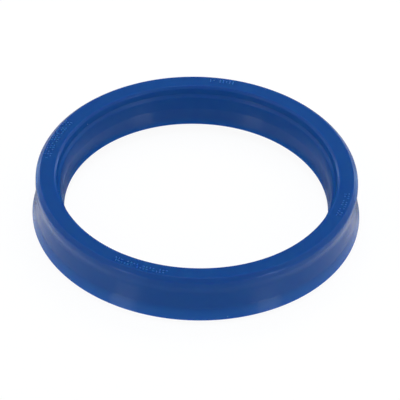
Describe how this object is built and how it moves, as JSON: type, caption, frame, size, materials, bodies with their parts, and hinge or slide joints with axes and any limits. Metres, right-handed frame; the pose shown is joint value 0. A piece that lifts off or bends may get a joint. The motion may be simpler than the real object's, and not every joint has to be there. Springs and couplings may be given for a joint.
{
  "type": "rod seal",
  "caption": "One-piece moulded polyurethane rod seal: a ring with a solid heel, a U channel open to one side between two flexible lips, and a stepped bore with a chamfered entry at the heel.",
  "frame": {"origin": "on the ring's axis, in the plane of the lip tips that it rests on", "axes": "+Z along the axis, from the open groove side to the flat back of the heel; X and Y are free, because the ring is the same all round"},
  "size_m": [0.0612, 0.0612, 0.01],
  "materials": {
    "polyurethane": "smooth moulded polyurethane, satin gloss, blue"
  },
  "bodies": {
    "root": {"seal_ring": "polyurethane"}
  },
  "joints": []
}
